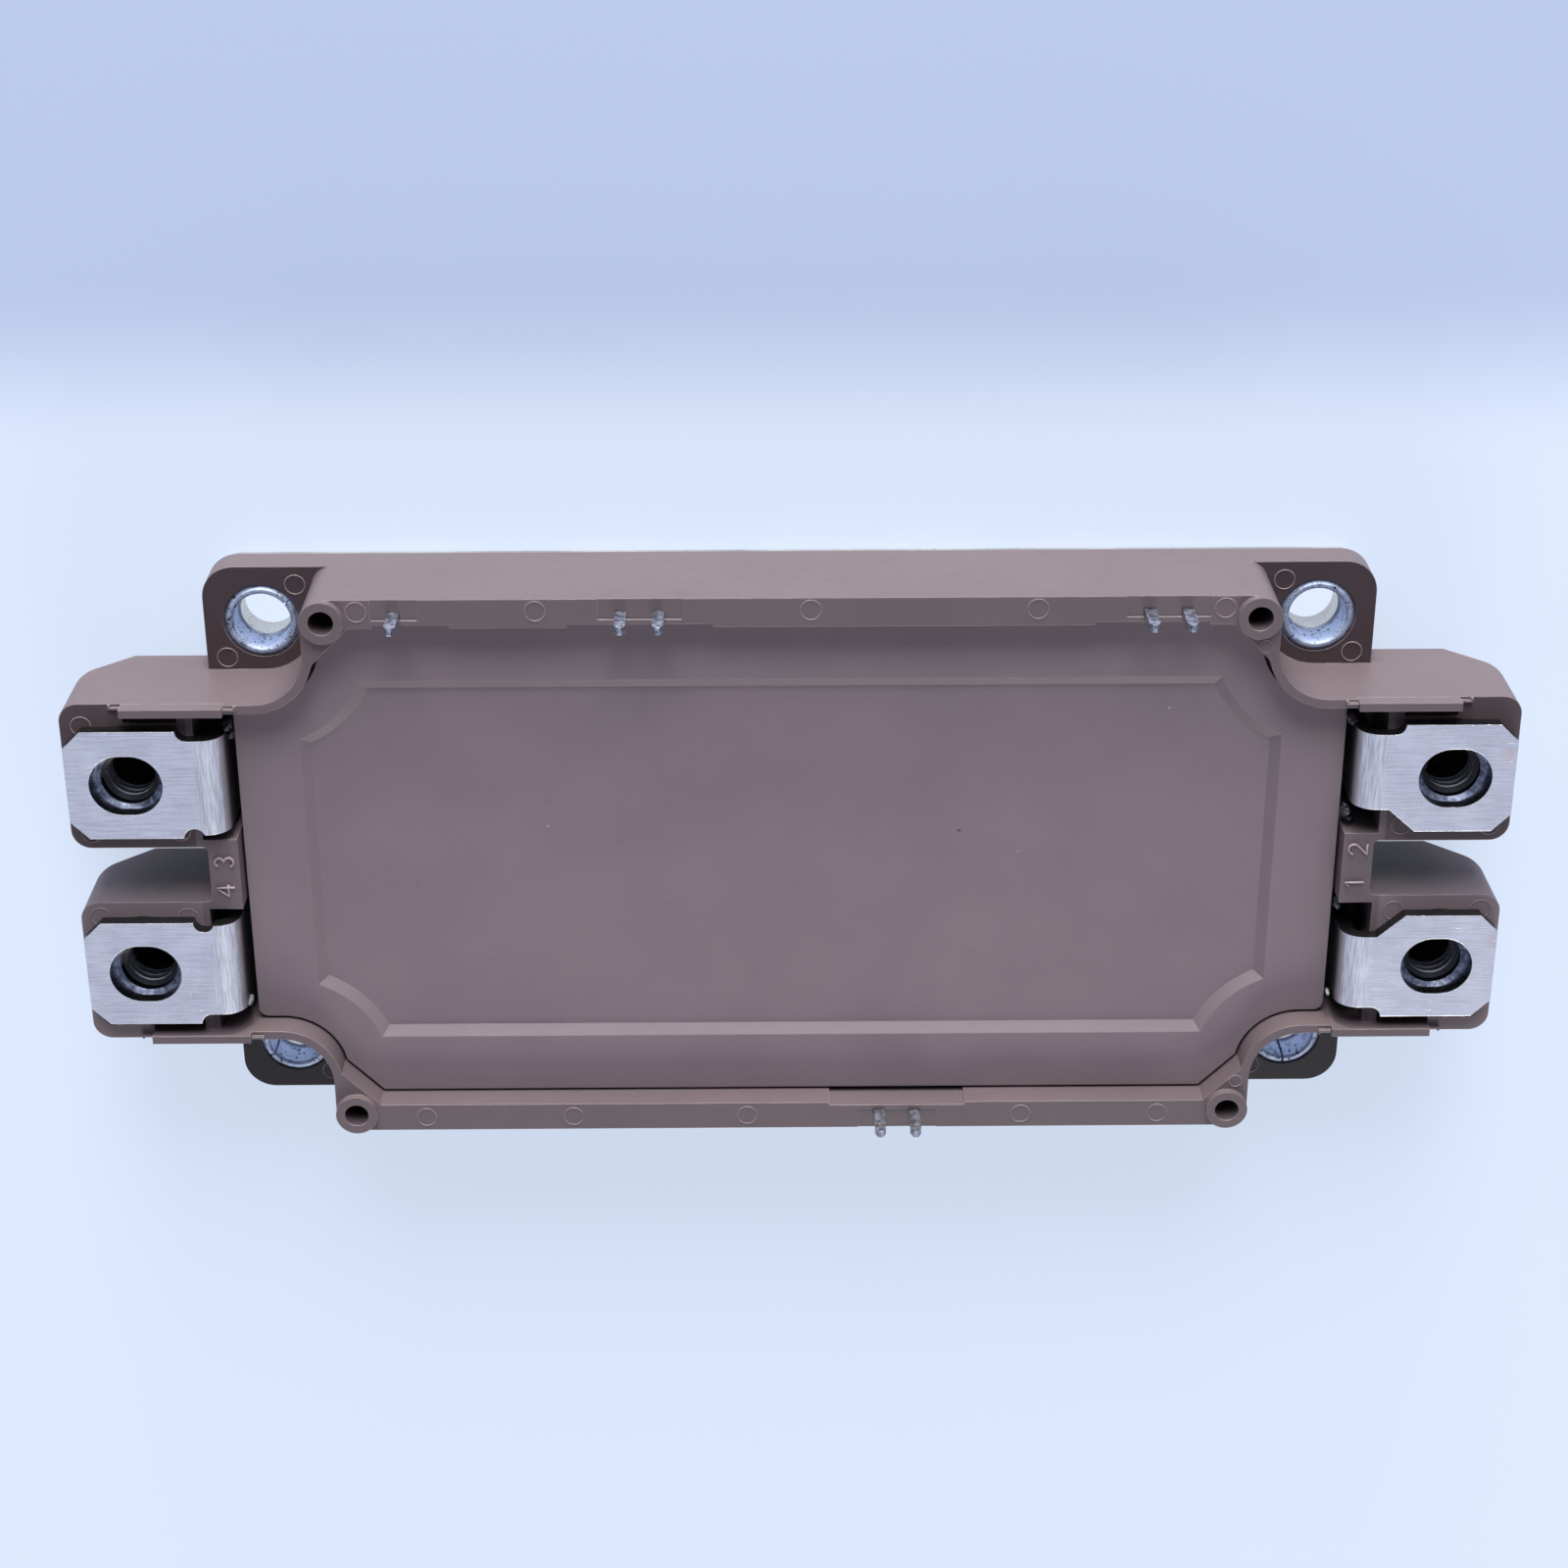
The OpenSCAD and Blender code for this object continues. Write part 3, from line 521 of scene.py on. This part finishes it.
# %% Metal pieces
thread_painted_crests = thread_painted_crests_finish()
nut_steel = plated_metal(
    "nut_steel", colour=(0.38, 0.41, 0.54), dull=(0.12, 0.13, 0.19), roughness=0.56,
    streak=(1, 1, 1), streak_size=0.4 * MM, mottle=0.6 * MM, bore_share=0.1, edge_wear_and_highlight=0.1,
)
bush_steel = plated_metal(
    "bush_steel", colour=(0.48, 0.53, 0.65), dull=(0.36, 0.41, 0.53), roughness=0.68,
    streak=(1, 1, 4), streak_size=0.4 * MM, mottle=0.7 * MM,
    marks=1.0, bore_share=1.75, specks=1.0, edge_wear_and_highlight=0.15, depth=0.003 * MM,
)
pin_tin = plated_metal(
    "pin_tin", colour=(0.46, 0.47, 0.54), dull=(0.18, 0.19, 0.24), roughness=0.48,
    streak=(1, 1, 8), streak_size=0.3 * MM, mottle=0.6 * MM, marks=0.8, edge_wear_and_highlight=0.1,
)
plate_nickel = plated_metal(
    "plate_nickel", colour=(0.72, 0.70, 0.67), dull=(0.55, 0.52, 0.50), roughness=0.38,
    streak=(20, 1, 1), streak_size=0.2 * MM, mottle=9 * MM,
)
solder = plated_metal(
    "solder", colour=(0.62, 0.63, 0.65), dull=(0.45, 0.46, 0.48), roughness=0.42,
    streak=(1, 1, 1), streak_size=0.6 * MM, mottle=2 * MM,
)
bare_copper = plated_metal(
    "bare_copper", colour=(0.80, 0.50, 0.36), dull=(0.55, 0.32, 0.22), roughness=0.36,
    streak=(8, 1, 1), streak_size=0.3 * MM, mottle=5 * MM,
)
bond_aluminium = plated_metal(
    "bond_aluminium", colour=(0.82, 0.82, 0.84), dull=(0.6, 0.6, 0.62), roughness=0.28,
    streak=(1, 1, 1), streak_size=0.3 * MM, mottle=0.8 * MM,
)
cover(numbered["terminal_nut"], nut_steel)
cover(numbered["mounting_bush"], bush_steel)
cover(numbered["signal_pin"], pin_tin)
cover(["base_plate"], plate_nickel)
cover(numbered["tile_solder"], solder)
cover(numbered["back_copper"] + numbered["circuit_copper"], bare_copper)
cover(numbered["bond_wires"] + ["signal_wires"], bond_aluminium)
print("metals:", len([m for m in bpy.data.materials if m.users]))

# %% [markdown]
# ## What the case holds inside
# Nothing of it shows in the closed module, but each piece has its own finish for when the case is taken
# apart: white alumina, dark silicon with a pale metal face, grey adhesive and clear gel.


# %% Inner finishes
def dull_stuff(name, colour, other, grain, roughness, depth):
    recipe = new_finish(name)
    rounded = rounded_normal(recipe, 0.05 * MM)
    pattern = noise(recipe, grain, detail=4)
    return recipe.finish(
        {
            "Base Color": blend(recipe, step(recipe, pattern, 0.35, 0.65), colour, other),
            "Roughness": roughness + (pattern - 0.5) * 0.2,
            "Normal": bump(recipe, pattern, depth, rounded),
        }
    )


def clear_gel(name, colour):
    recipe = new_finish(name)
    waves = noise(recipe, 1.4 * MM, detail=2)
    return recipe.finish(
        {
            "Base Color": blend(recipe, waves, colour, shade(colour, 0.8)),
            "Roughness": 0.06 + waves * 0.08,
            "Transmission Weight": 0.85,
            "IOR": 1.41,
            "Normal": bump(recipe, waves, 0.15 * MM),
        }
    )


adhesive = dull_stuff(
    "adhesive", (0.16, 0.16, 0.17), (0.12, 0.12, 0.13), grain=0.8 * MM, roughness=0.5, depth=0.03 * MM
)
alumina = dull_stuff(
    "alumina", (0.80, 0.80, 0.78), (0.74, 0.74, 0.73), grain=0.5 * MM, roughness=0.6, depth=0.01 * MM
)
silicon = dull_stuff(
    "silicon", (0.10, 0.11, 0.14), (0.13, 0.13, 0.16), grain=1.5 * MM, roughness=0.2, depth=0.001 * MM
)
cover(["frame_adhesive"], adhesive)
cover(numbered["ceramic_tile"], alumina)
cover(numbered["igbt_chips"] + numbered["diode_chips"] + ["ntc_thermistor"], silicon)
gel = clear_gel("gel", (0.75, 0.80, 0.86))
cover(["silicone_gel"], gel)
print("inner finishes:", [m.name for m in (adhesive, alumina, silicon, gel)])

# %% [markdown]
# ## Thread turns in the nuts
# Each nut's bore is a plain cylinder at the thread's major radius. The turns are one small four-sided
# profile that the spin operator carries round the axis while it climbs, one pitch a turn. The two ends
# are closed with a face.

# %% Nut threads
THREAD_PITCH = 1.0 * MM
THREAD_DEPTH = 0.52 * MM
# Half the height of a turn at its root and at its crest, as shares of the pitch
ROOT_HALF = 0.44
CREST_HALF = 0.16
# How far the last turn ends below the top of the nut
THREAD_END = 0.5 * MM
STEPS_PER_TURN = 40


def close_seams(bm):
    bmesh.ops.remove_doubles(bm, verts=bm.verts, dist=1e-7)
    bmesh.ops.recalc_face_normals(bm, faces=bm.faces)


def into_piece(bm, name, material, smooth=True):
    """Turns a bmesh into a finished piece that rides on the module."""
    mesh = bpy.data.meshes.new(name)
    bm.to_mesh(mesh)
    bm.free()
    for face in mesh.polygons:
        face.use_smooth = smooth
    mesh.materials.append(material)
    piece = bpy.data.objects.new(name, mesh)
    bpy.context.scene.collection.objects.link(piece)
    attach(piece, "root")
    return piece


def thread_turns(name, mount, low, high):
    centre = Vector(mount["pos_m"])
    radius = mount["dims"]["r_mm"] * MM
    turns = (high - low) / THREAD_PITCH - 1
    bm = bmesh.new()
    root = THREAD_PITCH * ROOT_HALF
    crest = THREAD_PITCH * CREST_HALF
    inner = radius - THREAD_DEPTH
    profile = [(radius, -root), (inner, -crest), (inner, crest), (radius, root)]
    corners = [bm.verts.new((centre.x + r, centre.y, low + THREAD_PITCH / 2 + z)) for r, z in profile]
    first = bm.faces.new(corners)
    steps = round(turns * STEPS_PER_TURN)
    bmesh.ops.spin(
        bm,
        geom=[first] + list(first.edges) + corners,
        cent=centre,
        axis=(0, 0, 1),
        dvec=(0, 0, THREAD_PITCH / STEPS_PER_TURN),
        angle=turns * 2 * math.pi,
        steps=steps,
        use_duplicate=False,
    )
    close_seams(bm)
    return into_piece(bm, name, thread_painted_crests, smooth=False)


for name in numbered["terminal_nut"]:
    nut_low, nut_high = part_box(name)
    number = name.rsplit("_", 1)[1]
    screw = mounts[f"terminal_screw_{number}"]
    thread_turns(f"thread_turns_{number}", screw, nut_low.z, nut_high.z - THREAD_END)
print("threads:", len(numbered["terminal_nut"]))

# %% [markdown]
# ## Raised terminal numbers
# The mould has the numbers cut into it, so they stand proud of the end webs as thin rounded strokes. Each
# stroke is a curve with a round bevel, made a mesh and stretched upwards. The numbers read from the end of
# the module.

# %% Digits
# Height of a digit over its width
DIGIT_SHAPE = 1.45
STROKE_RADIUS = 0.12 * MM
# How far a stroke stands up, against its own radius
STROKE_RISE = 2.2
WEB_TOP = 15.5 * MM
# Each number: the digit, its middle along X and Y, and its height, in millimetres
NUMBERS = [
    (3, -59.40, 1.47, 1.95),
    (4, -59.48, -1.85, 1.95),
    (2, 59.38, 2.23, 1.95),
    (1, 59.30, -1.80, 1.95),
]


def arc(centre, radius, start, end, count=14):
    angles = [math.radians(start + (end - start) * k / count) for k in range(count + 1)]
    return [(centre[0] + radius * math.cos(a), centre[1] + radius * math.sin(a)) for a in angles]


def digit_strokes(digit):
    """Strokes of a digit in a cell 1 wide and DIGIT_SHAPE high."""
    top = DIGIT_SHAPE
    strokes = {
        1: [[(0.6, 0), (0.6, top), (0.3, top - 0.3)]],
        2: [arc((0.5, top - 0.42), 0.42, 170, -35) + [(0.05, 0), (0.95, 0)]],
        3: [arc((0.5, top - 0.35), 0.35, 165, -90) + arc((0.5, 0.375), 0.375, 90, -165)],
        4: [[(0.75, 0), (0.75, top), (0, 0.5), (1, 0.5)]],
    }
    return strokes[digit]


def raised_digit(digit, x, y, height):
    width = height / DIGIT_SHAPE
    curve = bpy.data.curves.new(f"digit_{digit}", "CURVE")
    curve.dimensions = "3D"
    curve.bevel_depth = STROKE_RADIUS / width
    curve.bevel_resolution = 2
    curve.use_fill_caps = True
    for stroke in digit_strokes(digit):
        spline = curve.splines.new("POLY")
        spline.points.add(len(stroke) - 1)
        for point, (across, up) in zip(spline.points, stroke):
            point.co = (across - 0.5, up - DIGIT_SHAPE / 2, 0, 1)
    drawn = bpy.data.objects.new("drawn", curve)
    mesh = bpy.data.meshes.new_from_object(drawn)
    bpy.data.objects.remove(drawn)
    place = Matrix.Translation((x, y, WEB_TOP)) @ Matrix.Rotation(math.pi / 2, 4, "Z")
    size = Matrix.Diagonal((width, width, width * STROKE_RISE, 1))
    bm = bmesh.new()
    bm.from_mesh(mesh)
    bmesh.ops.transform(bm, matrix=place @ size, verts=bm.verts)
    close_seams(bm)
    return into_piece(bm, f"terminal_number_{digit}", number_painted_pale)


for digit, x, y, height in NUMBERS:
    raised_digit(digit, x * MM, y * MM, height * MM)
print("digits:", len(NUMBERS))

# %% [markdown]
# ## Ejector marks
# The pins that push the frame out of its mould leave faint rings of flash. Each is a thin closed ring
# that spin makes from a small round section, sunk by half into the face that it stands on.

# %% Ejector rings
RING_LINE = 0.075 * MM
# Height of the ring's section over its width
RING_RISE = 0.7
RING_SIDES = 6
RING_STEPS = 40
# Heights of the other faces that carry rings, in millimetres
EAR_TOP = 6.5
ARM_TOP = 15.5
# Each ring: its middle along X and Y, the height of its face and its radius, in millimetres
RINGS = [(x, 29.7, RIM_TOP, 1.05) for x in (-43.8, -25.8, 2.0, 24.9, 43.8)]
RINGS += [(x, -29.4, RIM_TOP, 1.05) for x in (-39.8, -23.8, -4.9, 24.9, 39.8)]
RINGS += [(48.15, y, RIM_TOP, 0.68) for y in (-25.5, 25.5)]
RINGS += [(x, y, ARM_TOP, 1.05) for x, y in ((-72.8, 17.05), (-72.8, -17.05), (72.8, -17.05))]
for side in (-1, 1):
    for row in (-1, 1):
        RINGS += [(side * x, row * y, EAR_TOP, 1.05) for x, y in ((51.3, 29.0), (58.9, 20.9))]
        RINGS += [(side * x, row * y, ARM_TOP, 1.05) for x, y in ((72.9, 4.95), (63.7, 5.07))]


def ring(bm, x, y, z, radius):
    section = []
    for k in range(RING_SIDES):
        angle = 2 * math.pi * k / RING_SIDES
        across = RING_LINE * math.cos(angle)
        up = RING_RISE * RING_LINE * math.sin(angle)
        section.append(bm.verts.new((x + radius + across, y, z + up)))
    edges = [bm.edges.new((section[k - 1], section[k])) for k in range(RING_SIDES)]
    bmesh.ops.spin(
        bm,
        geom=section + edges,
        cent=(x, y, z),
        axis=(0, 0, 1),
        angle=2 * math.pi,
        steps=RING_STEPS,
        use_merge=True,
    )


rings = bmesh.new()
for x, y, z, radius in RINGS:
    ring(rings, x * MM, y * MM, z * MM, radius * MM)
close_seams(rings)
ejector_rings = into_piece(rings, "ejector_rings", flash_painted_pale)
print("rings:", len(ejector_rings.data.polygons) // (RING_SIDES * RING_STEPS))

# %% [markdown]
# ## Gel that crept out
# When the module was filled, a little gel crept up beside the bent strips. It has set there as small
# lumps, some pale and some dark with dirt: balls that a noise pattern pushes out of shape.

# %% Gel lumps
# Each lump: its middle along X, Y and Z, and half its size along each, in millimetres
PALE_LUMPS = [((-58.15, -15.75, 14.2), (0.28, 0.40, 0.9)), ((57.75, -15.6, 14.1), (0.20, 0.28, 0.7))]
DARK_LUMPS = [
    ((-58.1, 16.4, 13.6), (0.5, 0.6, 1.2)),
    ((-57.9, 15.3, 13.2), (0.35, 0.5, 1.0)),
    ((58.0, 16.5, 13.6), (0.5, 0.6, 1.2)),
    ((58.1, 5.9, 13.6), (0.5, 0.55, 1.1)),
    ((58.5, 5.0, 13.2), (0.4, 0.4, 0.9)),
    ((58.1, -5.2, 13.4), (0.4, 0.5, 1.0)),
]
# How deep the noise pushes a ball of radius 1 in and out, and how often
LUMP_DEPTH = 0.35
LUMP_WAVE = 1.6


def set_gel_finish(name, dark, pale):
    recipe = new_finish(name)
    smear = noise(recipe, 0.35 * MM, detail=4)
    return recipe.finish(
        {
            "Base Color": blend(recipe, step(recipe, smear, 0.48, 0.62), dark, pale),
            "Roughness": 0.3 + smear * 0.3,
            "Coat Weight": 0.15,
            "Normal": bump(recipe, smear, 0.05 * MM),
        }
    )


def lumps(name, places, material):
    bm = bmesh.new()
    for middle, half in places:
        place = Matrix.Translation([part * MM for part in middle])
        size = Matrix.Diagonal([*(part * MM for part in half), 1])
        ball = bmesh.ops.create_icosphere(bm, subdivisions=4, radius=1.0)
        for vert in ball["verts"]:
            vert.co *= 1 + LUMP_DEPTH * mathutils.noise.noise(LUMP_WAVE * vert.co + Vector(middle))
        bmesh.ops.transform(bm, matrix=place @ size, verts=ball["verts"])
    return into_piece(bm, name, material)


pale_gel = set_gel_finish("pale_gel", (0.14, 0.14, 0.16), (0.36, 0.37, 0.41))
dirty_gel = set_gel_finish("dirty_gel", (0.015, 0.014, 0.016), (0.10, 0.10, 0.11))
lumps("gel_drops", PALE_LUMPS, pale_gel)
lumps("gel_lumps", DARK_LUMPS, dirty_gel)
print("lumps:", len(PALE_LUMPS) + len(DARK_LUMPS))

# %% [markdown]
# ## The floor
# The floor is a large pale sheet of one colour, which turns darker and bluer at the back: a painted shade,
# such as lies on paper that curves up behind an object. Seen from the camera or in a metal, most of its
# colour is its own glow, so that it stays pale and still keeps a soft shadow. Under the module, where only
# the screw holes show it, all of it is glow.

# %% Floor
FLOOR_HALF = 2.5
# Share of the floor's look that is its own glow, and the diffuse colour of the rest
FLOOR_GLOW = 0.68
FLOOR_LIT = (0.70, 0.78, 1.0, 1.0)
# Half the length and width of the place under the module, where the glow is full
UNDER = (58 * MM, 30 * MM)
# One pale colour, and a darker, bluer one as painted shade past the band along Y where paper would curve up
FLOOR_COLOUR = (0.75, 0.85, 1.0)
SHADED_BACK_COLOUR = (0.40, 0.50, 0.70)
SHADE_BAND = (40 * MM, 60 * MM)


def looked_at(recipe):
    """1 in what the camera, a metal or a glass shows, and 0 in what only lights other things."""
    path = recipe.add("ShaderNodeLightPath", out="Is Camera Ray")
    return path + path.other("Is Glossy Ray") + path.other("Is Transmission Ray")


def add_floor():
    recipe = new_finish("floor_paint")
    across = axis_of(recipe, recipe.place, "Y")
    # Painted shade: darker and bluer past the band along Y
    pale = blend(recipe, step(recipe, across, *SHADE_BAND), FLOOR_COLOUR, SHADED_BACK_COLOUR)
    recipe.finish({"Base Color": FLOOR_LIT, "Roughness": 0.9})
    glow = recipe.add("ShaderNodeEmission", None, {"Color": pale, "Strength": 1.0})
    lit = Wire(recipe, recipe.tree.nodes["Principled BSDF"].outputs[0])
    past_end = step(recipe, abs(axis_of(recipe, recipe.place, "X")), UNDER[0], UNDER[0] + MM)
    past_side = step(recipe, abs(across), UNDER[1], UNDER[1] + MM)
    under = (1 - past_end) * (1 - past_side)
    glowing = looked_at(recipe) * (FLOOR_GLOW + under * (1 - FLOOR_GLOW))
    mixed = recipe.add("ShaderNodeMixShader", None, {0: glowing, 1: lit, 2: glow})
    recipe.plug(recipe.tree.nodes["Material Output"].inputs["Surface"], mixed)
    bm = bmesh.new()
    bmesh.ops.create_grid(bm, x_segments=1, y_segments=1, size=FLOOR_HALF)
    mesh = bpy.data.meshes.new("floor")
    bm.to_mesh(mesh)
    bm.free()
    mesh.materials.append(recipe.owner)
    floor = bpy.data.objects.new("floor", mesh)
    bpy.context.scene.collection.objects.link(floor)
    return floor


floor = add_floor()
print("floor:", floor.name)

# %% [markdown]
# ## The sky
# The sky is brightest at the +Y horizon, the upper edge of the picture, and nearly black overhead, so
# that the faces that look up stay calm and the walls get their light from the sides. A mirror needs
# another sky: the strips would show the bright horizon as a glare. So what the sky gives as light and
# what a metal sees of it are two ramps, and the kind of ray says which of them counts.

# %% Sky
# Colours from the -Y side over the zenith to the +Y side: what lights the object, and what its metal shows
SKY_PLACES = (0.0, 0.29, 0.5, 0.8, 1.0)
SKY_LIGHT = [
    (0.48, 0.48, 0.83),
    (0.43, 0.43, 0.59),
    (0.02, 0.02, 0.02),
    (0.02, 0.02, 0.02),
    (4.1, 4.1, 5.0),
]
SKY_SEEN = [
    (0.50, 0.54, 0.60),
    (0.62, 0.67, 0.88),
    (0.42, 0.47, 0.60),
    (0.28, 0.32, 0.41),
    (0.18, 0.21, 0.26),
]


def colour_ramp(recipe, value, low, high, stops):
    """Colour that runs through the stops while value goes from low to high."""
    inputs = {"Value": value, "From Min": low, "From Max": high}
    share = recipe.add("ShaderNodeMapRange", None, inputs)
    return recipe.add("ShaderNodeValToRGB", {"stops": stops}, {"Fac": share}, out="Color")


def add_sky():
    recipe = Recipe(bpy.data.worlds.new("sky"))
    direction = recipe.add("ShaderNodeTexCoord", out="Generated")
    across = axis_of(recipe, direction, "Y")
    light = colour_ramp(recipe, across, -1, 1, list(zip(SKY_PLACES, SKY_LIGHT)))
    seen = colour_ramp(recipe, across, -1, 1, list(zip(SKY_PLACES, SKY_SEEN)))
    colour = blend(recipe, looked_at(recipe), light, seen)
    recipe.plug(recipe.tree.nodes["Background"].inputs["Color"], colour)
    bpy.context.scene.world = recipe.owner
    return recipe.owner


print("sky:", add_sky().name)

# %% [markdown]
# ## The lamps
# The key lamp stands so low on the +Y side that it brightens the long wall and only grazes the faces that
# look up: that is why the lips are dark, and the sunk ears too, which also carry painted shade. A broad
# lamp above it lights the lid and the terminals, and a weaker one on the other side fills in.

# %% Lamps
def add_lamp(name, height, turn, distance, size, power, colour):
    """A round lamp, height degrees over the floor and turned from the +Y side towards +X."""
    lamp = bpy.data.lights.new(name, "AREA")
    lamp.shape = "DISK"
    lamp.size = size
    lamp.energy = power
    lamp.color = colour
    direction = Vector((0, 1, 0))
    direction.rotate(Euler((math.radians(height), 0, 0)))
    direction.rotate(Euler((0, 0, -math.radians(turn))))
    stand = bpy.data.objects.new(name, lamp)
    stand.location = direction * distance
    stand.rotation_euler = direction.to_track_quat("Z", "Y").to_euler()
    bpy.context.scene.collection.objects.link(stand)
    return stand


add_lamp("key", height=6, turn=0, distance=1.3, size=0.30, power=17.0, colour=(1.01, 0.99, 0.84))
add_lamp("top", height=30, turn=0, distance=1.3, size=0.6, power=10.2, colour=(0.97, 1.01, 1.0))
add_lamp("fill", height=24, turn=170, distance=1.0, size=0.6, power=5.8, colour=(1.01, 1.0, 0.91))
bpy.context.scene.view_settings.view_transform = "Standard"

# %% [markdown]
# ## The end
# The finish must not change the module's size.

# %% The end
import json
